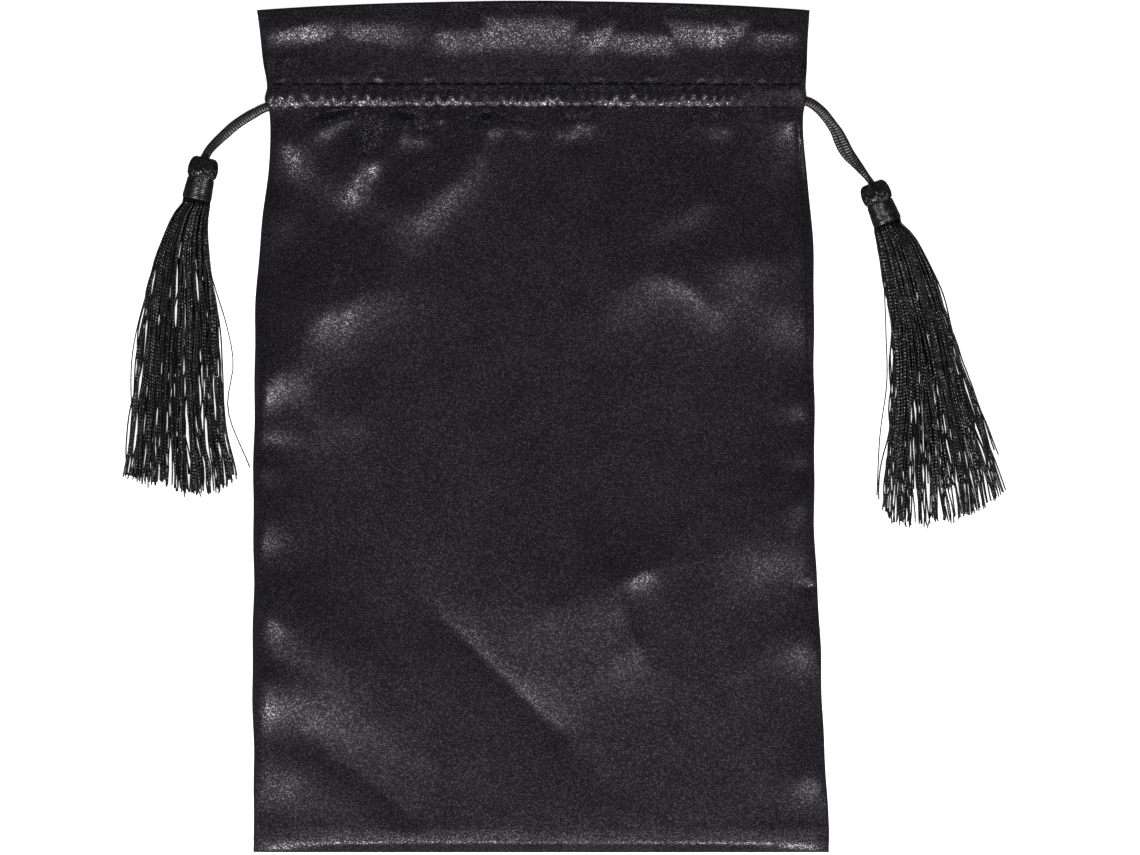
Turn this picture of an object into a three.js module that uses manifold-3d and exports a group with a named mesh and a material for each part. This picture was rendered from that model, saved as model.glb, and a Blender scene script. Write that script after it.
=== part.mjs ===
// Satin drawstring bag, lying empty on a flat surface, with a tassel on each side.
// Millimetres. X runs across the bag, Y runs up to its mouth, Z is height over the surface.
// The origin is on the surface, under the middle of the bag.

import * as THREE from 'three';
import { mergeVertices } from 'three/addons/utils/BufferGeometryUtils.js';
import Module from 'manifold-3d';

const wasm = await Module();
wasm.setup();

// Driving dimensions
const CLOTH = 1.1;             // one satin wall
const HEADING = 2.0;           // folded double wall above the casing
const CASING = 3.7;            // double wall round the drawstring tunnel
const SEAM_GAP = 0.3;          // between the two panels along the seams
const CORD_WIDTH = 2.4;        // flat braid
const CORD_THICKNESS = 1.1;
const CORD_CLEARANCE = 0.3;    // round the cord in its tunnel
const CORD_STEPS = 38;          // one every two diameters or so
const CROWN_POWER = 3;         // higher is flatter across and steeper at the seams
const MOUTH_DROP = 2.0;        // the mouth's corners lie this much below its middle
const HEM_STEP = 2.4;          // run over which the wall changes thickness beside the casing
const FOOT_RUN = 12;           // folds fade out over this run towards the bottom seam
const FOLD_REACH = 1.6;        // how soon the folds reach full height away from the side seams
const CASING_ROWS = 3;         // rows of cells across the casing

// Levels of the sewn rows, measured along Y
const BOTTOM = -112;
const CASING_LOW = 82.6;
const CASING_HIGH = 89.8;
const MOUTH = 112;

// A row for each level of the bag: its edges and how high the front panel stands in the middle
const SECTIONS = [
  { up: BOTTOM, left: -75.5, right: 76.2, crown: 2.5 },
  { up: -110, left: -75.5, right: 76.1, crown: 3.5 },
  { up: -104, left: -75.6, right: 75.8, crown: 5.0 },
  { up: -90, left: -75.7, right: 75.3, crown: 7.0 },
  { up: -60, left: -75.8, right: 73.9, crown: 10.0 },
  { up: -20, left: -75.6, right: 72.3, crown: 12.4 },
  { up: 26, left: -75.2, right: 72.3, crown: 13.0 },
  { up: 55, left: -73.4, right: 71.5, crown: 12.8 },
  { up: 74, left: -71.1, right: 69.7, crown: 12.6 },
  { up: CASING_LOW, left: -71.2, right: 69.4, crown: 12.6 },
  { up: 86.4, left: -72.5, right: 70.0, crown: 12.9 },
  { up: CASING_HIGH, left: -71.9, right: 69.7, crown: 12.5 },
  { up: 97, left: -73.0, right: 70.2, crown: 12.4 },
  { up: 107, left: -74.3, right: 70.7, crown: 13.0 },
  { up: MOUTH, left: -74.9, right: 71.0, crown: 11.6 },
];

// A row for each fold of the front panel. The crest runs from (x, y) to (toX, toY) and bows to its left,
// and the fold falls away over `leftFall` and `rightFall` on the two sides of the crest.
const FOLDS = [
  { x: -35, y: 81, toX: -52, toY: 58, bow: -1.5, leftFall: 6, rightFall: 10, high: 2.0 },
  { x: -9, y: 83, toX: -32, toY: 52, bow: -2, leftFall: 7, rightFall: 12, high: 2.0 },
  { x: -73, y: 75, toX: -61, toY: 76, bow: 0, leftFall: 5, rightFall: 9, high: 2.0 },
  { x: -30, y: 36, toX: -75, toY: 15, bow: -4, leftFall: 14, rightFall: 14, high: 2.8 },
  { x: -76, y: -24, toX: -64, toY: -22, bow: 0, leftFall: 7, rightFall: 9, high: 2.0 },
  { x: -64, y: -54, toX: -44, toY: -56, bow: 1, leftFall: 13, rightFall: 16, high: 2.8 },
  { x: -33, y: -35, toX: 16, toY: -88, bow: 2, leftFall: 22, rightFall: 6, high: 2.4 },
  { x: -57, y: -85, toX: -33, toY: -105, bow: 0, leftFall: 7, rightFall: 6, high: -1.4 },
  { x: 17, y: -42, toX: 30, toY: -35, bow: 0, leftFall: 6, rightFall: 6, high: 1.6 },
  { x: 20, y: -41, toX: 1, toY: -49, bow: 0, leftFall: 12, rightFall: 8, high: 1.8 },
  { x: 33, y: 42, toX: 13, toY: 32, bow: 0, leftFall: 7, rightFall: 9, high: 1.8 },
  { x: 33, y: 42, toX: 48, toY: 28, bow: 1, leftFall: 7, rightFall: 6, high: 1.4 },
  { x: 40, y: 44, toX: 73, toY: 46, bow: 0, leftFall: 8, rightFall: 9, high: 2.0 },
  { x: 64, y: -31, toX: 74, toY: -29, bow: 0, leftFall: 8, rightFall: 12, high: 2.0 },
];

// The drawstring's two strands, from the left tassel to the right one: x, y, height of the centre
const FRONT_STRAND = [
  [-88.0, 71.75, 4.9], [-87.15, 73.2, 4.4], [-85.4, 75.2, 3.2], [-83.4, 77.1, 2.5], [-80.7, 79.5, 2.4],
  [-77.6, 81.6, 3.3], [-74.9, 83.1, 4.7], [-72.4, 84.3, 5.85], [-66, 85.8, 7.0], [-58, 86.7, 8.35],
  [-45, 86.9, 9.7], [-25, 86.9, 10.75], [0, 86.9, 11.0], [25, 86.9, 10.7], [45, 86.9, 9.5],
  [58, 86.8, 8.0], [70, 86.0, 5.85], [73.3, 84.2, 4.3], [76.0, 81.6, 2.7], [78.4, 78.6, 2.4],
  [80.1, 75.4, 2.4], [81.6, 72.4, 2.5], [83.4, 69.75, 3.3], [85.1, 67.4, 4.5], [86.95, 64.85, 4.9],
];
const BACK_STRAND = [
  [-88.0, 71.75, 3.4], [-87.15, 73.2, 2.8], [-85.4, 75.2, 1.5], [-83.4, 77.1, 0.8], [-80.7, 79.5, 0.75],
  [-77.6, 81.6, 0.95], [-74.9, 83.1, 1.4], [-72.4, 84.3, 1.85], [-66, 85.8, 1.85], [-58, 86.7, 1.85],
  [-30, 86.9, 1.85], [0, 86.9, 1.85], [30, 86.9, 1.85], [58, 86.8, 1.85], [70, 86.0, 1.85],
  [73.0, 84.2, 1.3], [75.4, 81.5, 0.75], [77.2, 78.4, 0.75], [78.6, 75.2, 0.75], [80.4, 72.2, 1.0],
  [83.0, 69.55, 1.8], [85.0, 67.3, 2.9], [86.95, 64.85, 3.4],
];

// Tassels: knob and neck sizes, shared by both
const KNOB_RADIUS = 4.1;
const KNOB_LENGTH = 5.2;
const COLLAR_RADIUS = 3.7;
const COLLAR_LENGTH = 6.4;
const NECK_RADIUS = 2.5;
const HEAD_CENTRE = KNOB_RADIUS + 0.05;
const HEAD_LENGTH = KNOB_LENGTH + COLLAR_LENGTH;
const COLLAR_BANDS = 5;
const BAND_RELIEF = 0.3;       // how far the wound thread stands out between its grooves
const HEAD_SIDES = 14;
const NECK_TAIL = 3;           // the neck runs on this far into the skirt's locks

// Skirt locks, shared by both tassels
const LOCK_CROWD_TOP = 1.3;    // a lock's width over its share of the skirt: overlapping at the neck,
const LOCK_CROWD_END = 0.82;   // and standing clear of its neighbours at the ends
const LOCK_LIFT = 0.45;        // every other lock lies this much lower
const SKIRT_ROUND = 0.34;      // how much the outer locks are thinner than the middle ones
const LOCK_ROUND = 0.22;       // how much a lock is thinner at its sides than at its middle
const SIDE_TRIM = 3;           // the outermost locks end this much short of the middle ones
const RAGGED_STEP = 2.1;       // phase between the uneven ends of neighbouring locks

// A row for each tassel: the foot of its collar, how its head and skirt lean, and its locks.
// `along` is measured from the collar's foot to the ends of the threads, `shift` to the tassel's left.
const TASSELS = [
  {
    side: 'left', x: -90.6, y: 59.8, headLean: 12.2, skirtLean: 3.1, locks: 9, length: 76.6, ragged: 1.6,
    skirt: [
      { along: 0.7, shift: 0.2, halfWidth: 3.5, low: 1.0, high: 7.3 },
      { along: 7, shift: 1.9, halfWidth: 5.6, low: 0.1, high: 7.0 },
      { along: 20, shift: 2.7, halfWidth: 8.5, low: 0, high: 5.6 },
      { along: 47, shift: 2.1, halfWidth: 11.7, low: 0, high: 3.9 },
      { along: 78, shift: 0, halfWidth: 15.2, low: 0, high: 2.8 },
    ],
  },
  {
    side: 'right', x: 91.6, y: 53.7, headLean: -22, skirtLean: -11.6, locks: 9, length: 78.4, ragged: -1.6,
    skirt: [
      { along: 0.7, shift: -0.2, halfWidth: 3.5, low: 1.0, high: 7.3 },
      { along: 7, shift: -1.7, halfWidth: 6.0, low: 0.1, high: 7.0 },
      { along: 15, shift: -2.5, halfWidth: 7.2, low: 0, high: 6.0 },
      { along: 30, shift: -3.2, halfWidth: 8.7, low: 0, high: 5.0 },
      { along: 48, shift: -2.4, halfWidth: 12.0, low: 0, high: 3.9 },
      { along: 80, shift: 0, halfWidth: 18.2, low: 0, high: 2.8 },
    ],
  },
];

const SATIN = { color: 0x1d1b1e, roughness: 0.42, metalness: 0 };
const BRAID = { color: 0x1a181a, roughness: 0.6, metalness: 0 };
const FLOSS = { color: 0x1b191b, roughness: 0.5, metalness: 0 };

// A column of a table at any place along its rows, as a smooth curve through them
function column(rows, key, at, name) {
  const last = rows.length - 1;
  let i = 0;
  while (i < last - 1 && at > rows[i + 1][key]) i += 1;
  const slope = (k) => {
    const before = rows[Math.max(k - 1, 0)];
    const after = rows[Math.min(k + 1, last)];
    return (after[name] - before[name]) / (after[key] - before[key]);
  };
  const run = rows[i + 1][key] - rows[i][key];
  const t = THREE.MathUtils.clamp((at - rows[i][key]) / run, 0, 1);
  const rise = rows[i + 1][name] - rows[i][name];
  const bend = (1 - t) * (slope(i) * run - rise) - t * (slope(i + 1) * run - rise);
  return rows[i][name] + t * rise + t * (1 - t) * bend;
}

function toManifold(geometry) {
  geometry.deleteAttribute('normal');
  geometry.deleteAttribute('uv');
  const merged = mergeVertices(geometry);
  return new wasm.Manifold(new wasm.Mesh({
    numProp: 3,
    vertProperties: new Float32Array(merged.attributes.position.array),
    triVerts: new Uint32Array(merged.index.array),
  }));
}

function toGeometry(solid) {
  const mesh = solid.getMesh();
  const geometry = new THREE.BufferGeometry();
  geometry.setAttribute('position', new THREE.BufferAttribute(mesh.vertProperties, 3));
  geometry.setIndex(new THREE.BufferAttribute(mesh.triVerts, 1));
  geometry.computeVertexNormals();
  return geometry;
}

// A unit box, cut into cells, with every corner moved by `place(across, along, up)`, each from 0 to 1
function shapedBox(cellsAcross, cellsAlong, place) {
  const geometry = new THREE.BoxGeometry(1, 1, 1, cellsAcross, cellsAlong, 1);
  const position = geometry.attributes.position;
  const point = new THREE.Vector3();
  for (let i = 0; i < position.count; i += 1) {
    point.fromBufferAttribute(position, i).addScalar(0.5);
    place(point.x, point.y, point.z, point);
    position.setXYZ(i, point.x, point.y, point.z);
  }
  return geometry;
}

// Wall thickness at a level: single cloth, then the casing round its tunnel, then the folded heading
function wallAt(y) {
  const intoCasing = THREE.MathUtils.smoothstep(y, CASING_LOW - HEM_STEP, CASING_LOW);
  const outOfCasing = THREE.MathUtils.smoothstep(y, CASING_HIGH, CASING_HIGH + HEM_STEP);
  return CLOTH + intoCasing * (CASING - CLOTH) - outOfCasing * (CASING - HEADING);
}

// Height of one fold: a crest that fades towards its ends and falls away to each side
function foldHeight(fold, x, y) {
  const runX = fold.toX - fold.x;
  const runY = fold.toY - fold.y;
  const length = Math.hypot(runX, runY);
  const along = ((x - fold.x) * runX + (y - fold.y) * runY) / (length * length);
  const bow = fold.bow * (1 - (2 * along - 1) ** 2);
  const aside = ((y - fold.y) * runX - (x - fold.x) * runY) / length - bow;
  const fall = aside > 0 ? fold.leftFall : fold.rightFall;
  const fade = Math.exp(-((2 * along - 1) ** 4));
  return fold.high * fade * Math.exp(-((aside / fall) ** 2));
}

// Outer height of the front panel: from the seam's height up to its crown, with the folds on top
function frontHeight(x, y, across) {
  const rim = 2 * wallAt(y) + SEAM_GAP;
  const crown = Math.max(column(SECTIONS, 'up', y, 'crown'), rim);
  const swell = 1 - Math.abs(2 * across - 1) ** CROWN_POWER;
  const foot = THREE.MathUtils.smoothstep(y, BOTTOM, BOTTOM + FOOT_RUN);
  const folds = FOLDS.reduce((sum, fold) => sum + foldHeight(fold, x, y), 0);
  return rim + (crown - rim) * swell + folds * Math.min(1, FOLD_REACH * swell) * foot;
}

// The levels of a panel's rows of cells: even in the pouch, close together at the casing
function levels(pouchRows, headingRows) {
  const even = (from, to, count) => Array.from({ length: count }, (_, i) => from + ((to - from) * i) / count);
  return [
    ...even(BOTTOM, CASING_LOW - HEM_STEP, pouchRows),
    CASING_LOW - HEM_STEP,
    ...even(CASING_LOW, CASING_HIGH, CASING_ROWS),
    CASING_HIGH,
    ...even(CASING_HIGH + HEM_STEP, MOUTH, headingRows),
    MOUTH,
  ];
}

// One panel as a closed wall; `under` and `over` give its two faces at a place
function panel(cellsAcross, rows, under, over) {
  return shapedBox(cellsAcross, rows.length - 1, (across, along, up, point) => {
    const level = rows[Math.round(along * (rows.length - 1))];
    const left = column(SECTIONS, 'up', level, 'left');
    const right = column(SECTIONS, 'up', level, 'right');
    const x = left + (right - left) * across;
    const drop = MOUTH_DROP * (2 * across - 1) ** 2 * THREE.MathUtils.smoothstep(level, CASING_HIGH, MOUTH);
    point.set(x, level - drop, up > 0.5 ? over(x, level, across) : under(x, level, across));
  });
}

// The flat braid along a strand's route; `spare` makes it larger all round
function braid(route, spare) {
  const curve = new THREE.CatmullRomCurve3(route.map((point) => new THREE.Vector3(...point)));
  const section = new THREE.Shape();
  section.absellipse(0, 0, CORD_THICKNESS / 2 + spare, CORD_WIDTH / 2 + spare, 0, 2 * Math.PI);
  return new THREE.ExtrudeGeometry(section, { extrudePath: curve, steps: CORD_STEPS, curveSegments: 4 });
}

function panelWithTunnel(geometry, route) {
  return toGeometry(toManifold(geometry).subtract(toManifold(braid(route, CORD_CLEARANCE))));
}

// Turns a shape of the head, made along Y from the knob's top, about the collar's foot into its lean
function leanHead(geometry, tassel) {
  const turn = THREE.MathUtils.degToRad(tassel.skirtLean - tassel.headLean);
  return geometry.translate(0, -HEAD_LENGTH, HEAD_CENTRE).rotateZ(turn);
}

// Knob and neck, turned on the tassel's own axis
function tasselHead(tassel) {
  const profile = [
    [0, 0], [1.9, 0], [3.4, 0.9], [KNOB_RADIUS, 2.9], [3.5, 4.9], [NECK_RADIUS, KNOB_LENGTH],
    [NECK_RADIUS, HEAD_LENGTH + NECK_TAIL], [0, HEAD_LENGTH + NECK_TAIL],
  ];
  const points = profile.map(([radius, along]) => new THREE.Vector2(radius, along));
  return leanHead(new THREE.LatheGeometry(points, HEAD_SIDES), tassel);
}

// One lock of the skirt: a strip that fans out from the neck and comes free of its neighbours
function lock(tassel, index) {
  const place = (index + 0.5) / tassel.locks * 2 - 1;
  const from = tassel.skirt[0].along;
  const end = tassel.length - SIDE_TRIM * place * place + tassel.ragged * Math.sin(RAGGED_STEP * index);
  const drop = index % 2 ? LOCK_LIFT : 0;
  return shapedBox(2, 6, (across, along, up, point) => {
    const y = from + (end - from) * along;
    const at = (name) => column(tassel.skirt, 'along', y, name);
    const crowd = THREE.MathUtils.lerp(LOCK_CROWD_TOP, LOCK_CROWD_END, along);
    const spread = place + (2 * across - 1) * crowd / tassel.locks;
    const x = at('shift') + at('halfWidth') * spread;
    const roundness = 1 - SKIRT_ROUND * spread ** 2;
    const rib = 1 - LOCK_ROUND * (2 * across - 1) ** 2;
    const low = Math.max(0, at('low'));
    const high = low + (at('high') - low) * roundness * rib - drop;
    point.set(x, y, up > 0.5 ? high : low);
  });
}

function tasselBundle(tassel) {
  let solid = toManifold(tasselHead(tassel));
  for (let i = 0; i < tassel.locks; i += 1) solid = solid.add(toManifold(lock(tassel, i)));
  return toGeometry(solid);
}

// The thread wound round the neck, as a ring with shallow bands
function tasselCollar(tassel) {
  const start = KNOB_LENGTH + SEAM_GAP;
  const end = HEAD_LENGTH - SEAM_GAP;
  const inner = NECK_RADIUS + SEAM_GAP;
  const profile = [new THREE.Vector2(inner, start)];
  const band = (end - start) / COLLAR_BANDS;
  for (let i = 0; i < COLLAR_BANDS; i += 1) {
    profile.push(new THREE.Vector2(COLLAR_RADIUS - BAND_RELIEF, start + i * band));
    profile.push(new THREE.Vector2(COLLAR_RADIUS, start + (i + 0.5) * band));
  }
  profile.push(new THREE.Vector2(COLLAR_RADIUS - BAND_RELIEF, end));
  profile.push(new THREE.Vector2(inner, end), profile[0].clone());
  return leanHead(new THREE.LatheGeometry(profile, HEAD_SIDES), tassel);
}

function piece(name, geometry, look) {
  const mesh = new THREE.Mesh(geometry, new THREE.MeshStandardMaterial(look));
  mesh.name = name;
  return mesh;
}

const bag = new THREE.Group();

const front = panel(26, levels(24, 5), (x, y, across) => frontHeight(x, y, across) - wallAt(y), frontHeight);
const back = panel(10, levels(9, 3), () => 0, (x, y) => wallAt(y));
bag.add(piece('front_panel', panelWithTunnel(front, FRONT_STRAND), SATIN));
bag.add(piece('back_panel', panelWithTunnel(back, BACK_STRAND), SATIN));
bag.add(piece('drawstring_front', braid(FRONT_STRAND, 0), BRAID));
bag.add(piece('drawstring_back', braid(BACK_STRAND, 0), BRAID));

for (const tassel of TASSELS) {
  const hung = new THREE.Group();
  hung.position.set(tassel.x, tassel.y, 0);
  hung.rotation.z = Math.PI - THREE.MathUtils.degToRad(tassel.skirtLean);
  hung.add(piece(`tassel_${tassel.side}`, tasselBundle(tassel), FLOSS));
  hung.add(piece(`tassel_collar_${tassel.side}`, tasselCollar(tassel), FLOSS));
  bag.add(hung);
}

export default bag;
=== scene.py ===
"""A black satin drawstring bag lying flat, with two braided drawstrings that end in tassels."""

import math

import bmesh
import bpy
import numpy as np
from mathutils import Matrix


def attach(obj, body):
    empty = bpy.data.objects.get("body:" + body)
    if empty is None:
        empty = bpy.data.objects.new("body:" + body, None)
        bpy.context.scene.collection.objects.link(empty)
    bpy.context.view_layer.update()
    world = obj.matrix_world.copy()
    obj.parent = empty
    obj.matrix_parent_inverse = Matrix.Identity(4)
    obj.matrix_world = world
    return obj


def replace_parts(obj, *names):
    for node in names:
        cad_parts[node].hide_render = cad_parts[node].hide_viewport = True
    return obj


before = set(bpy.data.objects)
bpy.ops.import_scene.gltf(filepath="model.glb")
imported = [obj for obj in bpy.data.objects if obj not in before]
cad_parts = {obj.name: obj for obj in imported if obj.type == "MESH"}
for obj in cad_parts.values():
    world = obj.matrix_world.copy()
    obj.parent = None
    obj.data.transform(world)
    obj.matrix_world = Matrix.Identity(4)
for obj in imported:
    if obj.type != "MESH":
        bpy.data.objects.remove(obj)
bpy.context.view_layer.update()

bl_info = {
    "name": "Drawstring bag",
    "version": (1, 0, 0),
    "blender": (4, 5, 0),
    "location": "View3D > Sidebar > Bag",
    "description": "Dresses the packed drawstring bag: satin panels, braided cords, tassels, stage",
    "category": "Add Mesh",
}

MM = 0.001

# Heights up the bag, in millimetres from the middle of its length.
BOTTOM = -112.0
HEM_TOP = -103.0
WEDGE_FOOT = 44.0
SIDE_FOOT = 60.0
FOLDS_FADE = 60.0
WRINKLES_FADE = 80.0
HEADING_FOOT = 84.0
LOWER_ROW = 84.2
LOWER_BEADS = 86.0
TUNNEL = 86.2
CASING_MIDDLE = 86.7
UPPER_BEADS = 87.7
CASING_TOP = 88.2
UPPER_ROW = 89.8
TUFTS = 92.0
PUFFS_FOOT = 93.0
MOUTH = 112.0

# Sizes of the cloth and its sewing, in millimetres.
CLOTH = 1.1
HEADING_EXTRA = 0.9
CASING_EXTRA = 2.3
LIP = 0.5
RIM = 0.9
MOUTH_DROP = 2.0
TUNNEL_DEPTH = 5.0
SEAM_INSET = 1.6
SEAM_WIDTH = 0.6
SEAM_DEPTH = 0.35
BEAD_PITCH = 2.9
BEAD_WIDTH = 1.4
STITCH_PITCH = 3.9
LONGEST_RIPPLE = 22

# Counts: rows round a lip, ripples, and a panel's outer columns for each of its inner ones.
LIP_ROWS = 6
RIPPLES = 24
FINER = 4

# Distances between a panel's rows in its hem, body, casing and heading, and its inner columns.
FRONT_STEPS = (0.55, 1.25, 0.36, 0.62)
FRONT_COLUMNS = 72
BACK_STEPS = (1.2, 2.4, 0.6, 1.2)
BACK_COLUMNS = 40

# About one full turn, in radians.
FULL_TURN = 6.3


def columns(names, rows):
    """A table of rows as a dictionary of columns."""
    values = np.array(rows, dtype=float)
    return dict(zip(names.split(), values.T))


# Outline of the bag and the height of its crown, from the bottom to the mouth.
OUTLINE = columns("up left right crown", [
    (-112.0, -75.5, 76.2, 3.4),
    (-111.4, -75.5, 76.15, 4.45),
    (-110.6, -75.5, 76.1, 5.65),
    (-109.9, -75.5, 76.1, 6.55),
    (-109.6, -75.5, 76.1, 6.85),
    (-109.4, -75.5, 76.1, 6.95),
    (-108.2, -75.6, 76.1, 7.26),
    (-107.0, -75.6, 76.05, 7.53),
    (-105.5, -75.6, 76.0, 7.81),
    (-103.0, -75.6, 75.8, 8.1),
    (-100.0, -75.6, 75.7, 8.37),
    (-90.0, -75.7, 75.3, 9.05),
    (-60.0, -75.8, 73.9, 11.0),
    (-20.0, -75.6, 72.3, 12.1),
    (26.0, -75.2, 72.3, 12.8),
    (55.0, -73.4, 71.5, 12.9),
    (74.0, -71.1, 69.7, 12.6),
    (82.6, -71.2, 69.4, 12.4),
    (86.4, -72.5, 70.0, 12.4),
    (89.8, -71.9, 69.7, 12.4),
    (97.0, -73.0, 70.2, 12.6),
    (107.0, -74.3, 70.7, 12.8),
    (112.0, -74.9, 71.0, 12.7),
])

# Folds of the front: a crest from one point to another, its bow to the left of that
# direction, how far it falls away on each side, its height and how sharp its edge is.
FOLDS = columns("x y to_x to_y bow left right high edge", [
    (-18, 72.5, -36.5, 52, -1, 7.5, 14, 4.0, 1.7),
    (-86, 57, -66, 56, 0, 8, 8, 1.4, 2),
    (-33, 37.5, -60, 34, 0, 8, 13, 1.7, 1.8),
    (-50, 38, -80, 4, 0, 9, 14, 4.0, 1.8),
    (-90, 13.5, -62, 14, 0, 6, 8, 1.2, 2),
    (-84, -1, -65, -1, 0, 6, 5, 1.5, 2),
    (-57, 4, -45, 4, 0, 9, 7, 1.1, 2),
    (-90, -10, -68, -10.5, 0, 4, 5, 2.2, 2),
    (-68, -21, -88, -34, 0, 8.5, 11, 3.8, 2),
    (-88, -48, -67, -49.5, 0, 12, 6.5, 3.0, 1.7),
    (-74, -59, -50, -61, 2, 24, 16, 3.0, 1.8),
    (-86, -69, -56, -72, 0, 7, 10, 0.8, 2),
    (-84, -66.5, -69, -67, 0, 4, 14, 1.4, 2),
    (-84, -89, -60, -89, 0, 8, 8, 1.1, 2),
    (-37, -40, 16.5, -92, 0, 17, 12, -1.6, 0.95),
    (-35, -42, 14.5, -90, 0, 4.2, 2.8, -0.5, 1.3),
    (-57, -39, -40, -55, 0, 7, 9, -0.8, 1.6),
    (-56, -85.5, -30, -105.5, 0, 14, 2.8, -1.0, 1.4),
    (18.5, -41.5, 30, -36, 0, 7, 4, 1.8, 1.6),
    (20, -41, -2, -50, -1, 13, 20, 2.1, 1.4),
    (19.5, -42, 27, -62, 0, 3.0, 12, 1.5, 1.4),
    (52, -28, 80, -29, 0, 16, 11, 2.4, 2),
    (34, 40.5, 17, 34, -2, 9, 14, 2.3, 1.6),
    (32, 41, 47.5, 27, 2, 8, 3, 1.15, 1.6),
    (42, 44, 80, 46, 0, 12, 10, 3.0, 1.6),
    (60, 33, 82, 25, 0, 9, 8, 1.6, 2),
    (27, 53, 45.5, 63, 0, 10, 6.5, 2.2, 2),
    (66, 6.5, 82, 6.5, 0, 7, 4.5, 1.7, 2),
    (66, -6.5, 82, -6.5, 0, 6, 4.5, 1.6, 2),
    (67, -18.5, 82, -18.5, 0, 5, 5.5, 1.8, 2),
    (65, -56, 83, -55, 0, 10, 6, 1.6, 2),
    (67, -91, 85, -90, 0, 10, 6, 1.5, 2),
    (69, -42.3, 78, -42.3, 0, 1.1, 1.1, -1.3, 2),
])

# Short wrinkles drawn into the lower row of the casing, in the columns of the folds.
WRINKLES = columns("x y to_x to_y bow left right high edge", [
    (-40, 78, -46, 69.5, 0, 4.6, 7, 1.7, 2),
    (-43, 74, -49, 65.5, 0, 4.8, 7.5, 1.2, 2),
    (-45, 71.5, -52, 61.5, 0, 5.4, 8, 2.1, 2),
    (-12.8, 80.5, -17, 71, 0, 3, 7, 1.7, 1.8),
    (-86, 75.2, -61, 74.8, 0, 5, 7.5, 2.6, 2),
    (-36, 77.4, -28.5, 77.2, 0, 3.4, 3.6, 2.0, 2),
    (-58.5, 78.0, -47.5, 84.5, 0, 4, 2.8, 2.2, 2),
    (-38.3, 82.5, -34.6, 79.6, 0, 3.5, 2, 1.6, 2),
    (-28.5, 82.6, -25.5, 81.6, 0, 3.5, 2.2, 1.7, 2),
    (-14.5, 80.2, -10, 79.8, 0, 5, 3.2, 1.1, 2),
    (-6.5, 80, -2.2, 78.2, 0, 2, 2.2, 1.0, 2),
    (4.5, 78.9, 8.5, 78.0, 0, 5, 3, 1.0, 2),
    (9.5, 80.9, 13.5, 79.9, 0, 5, 3.2, 1.15, 2),
    (36.9, 77.2, 41.3, 81.6, 0, 1.8, 2.2, 0.6, 2),
    (44.5, 79.9, 49.5, 79.5, 0, 5, 3.4, 1.15, 2),
    (60, 82, 84, 82, 0, 3, 5.5, 1.1, 2),
])

# Puffs of the gathered heading: crests whose two flanks fall evenly over these runs.
PUFFS = columns("x y to_x to_y bow left right high", [
    (-80, 104.2, -52, 109.6, 0, 9, 7.2, 2.8),
    (-52, 108.4, -32, 106.6, 0, 9, 7.4, 2.55),
    (-25, 104.9, -14, 105.8, 0, 11, 7.6, 3.2),
    (-15.5, 108.9, 8, 108.7, 0, 9, 10.4, 4.5),
    (11, 103.8, 20, 107.6, 0, 11, 7.0, 2.95),
    (19.5, 104.6, 34, 104.0, 0, 12, 6.6, 2.85),
    (33, 108.0, 49, 107.2, 0, 9, 8.0, 3.4),
    (46, 108.8, 57, 108.4, 0, 9, 8.4, 2.7),
    (55, 105.8, 71, 105.2, 0, 11, 7.4, 2.9),
    (-80, 107.0, 76, 106.4, 0, 11, 8.4, 1.3),
])

# Swellings beside the bottom hem, in the columns of the folds.
HEM = columns("x y to_x to_y bow left right high edge", [
    (-80, -104.0, -50, -104.2, 0, 5, 4, 0.3, 2),
    (-41, -104.4, -23, -104.4, 0, 5, 4, 0.5, 2),
    (48, -104.2, 80, -104.0, 0, 5, 4, 0.4, 2),
])

# Rows of stitches on the front: from one end to the other, pitch, length and thickness of a stitch.
STITCHES = columns("x y to_x to_y pitch length thick seed", [
    # The upper row is thick and its stitches take the darkest thread colour: real stitching that also stands
    # in for the shadow in the groove under the heading, as painted shade.
    (-70.5, 90.0, 68.5, 90.0, STITCH_PITCH, 3.4, 0.55, 1),
    (-70.0, 84.1, 66.0, 84.1, BEAD_PITCH, 2.2, 0.26, 2),
    (68.3, 82.0, 71.0, 3.0, 3.4, 2.6, 0.24, 3),
])

# Routes of the two drawstrings in metres, from the left tassel through the casing to the right.
FRONT_ROUTE = np.array([
    (-0.0880, 0.07175, 0.0049), (-0.08715, 0.0732, 0.0044), (-0.0854, 0.0752, 0.0032),
    (-0.0834, 0.0771, 0.0025), (-0.0807, 0.0795, 0.0024), (-0.0776, 0.0816, 0.0033),
    (-0.0749, 0.0831, 0.0047), (-0.0724, 0.0843, 0.00585), (-0.0660, 0.0858, 0.0070),
    (-0.0580, 0.0867, 0.00835), (-0.0450, 0.0869, 0.0097), (-0.0250, 0.0869, 0.01075),
    (0.0000, 0.0869, 0.0110), (0.0250, 0.0869, 0.0107), (0.0450, 0.0869, 0.0095),
    (0.0580, 0.0868, 0.0080), (0.0700, 0.0860, 0.00585), (0.0733, 0.0842, 0.0043),
    (0.0760, 0.0816, 0.0027), (0.0784, 0.0786, 0.0024), (0.0801, 0.0754, 0.0024),
    (0.0816, 0.0724, 0.0025), (0.0834, 0.06975, 0.0033), (0.0851, 0.0674, 0.0045),
    (0.08695, 0.06485, 0.0049),
])
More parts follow.
